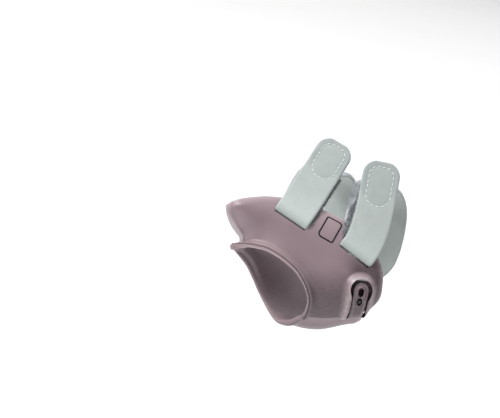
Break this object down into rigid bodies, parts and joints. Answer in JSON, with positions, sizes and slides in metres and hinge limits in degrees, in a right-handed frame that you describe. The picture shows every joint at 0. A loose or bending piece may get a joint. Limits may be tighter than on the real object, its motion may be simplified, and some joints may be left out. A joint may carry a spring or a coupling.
{
  "type": "thumb brace",
  "caption": "Moulded thumb-base brace for the right hand: a shell wraps the thumb and web, with a strap over the hand and one over the wrist.",
  "frame": {"origin": "middle of the wrist opening, on the forearm's own line", "axes": "+X up the forearm, -X to the fingers, -Y the thumb side, +Z the back of the hand"},
  "size_m": [0.0823, 0.0916, 0.087],
  "materials": {
    "moulding": "satin, grey-mauve soft plastic",
    "peg": "satin, near black",
    "webbing": "light green-grey laminated loop fabric",
    "hook_patch": "grey hook tape"
  },
  "bodies": {
    "root": {"shell": "moulding", "closure_peg": "peg", "hand_strap": "webbing", "wrist_strap": "webbing", "hand_tab_hook": "hook_patch", "wrist_tab_hook": "hook_patch"}
  },
  "joints": []
}
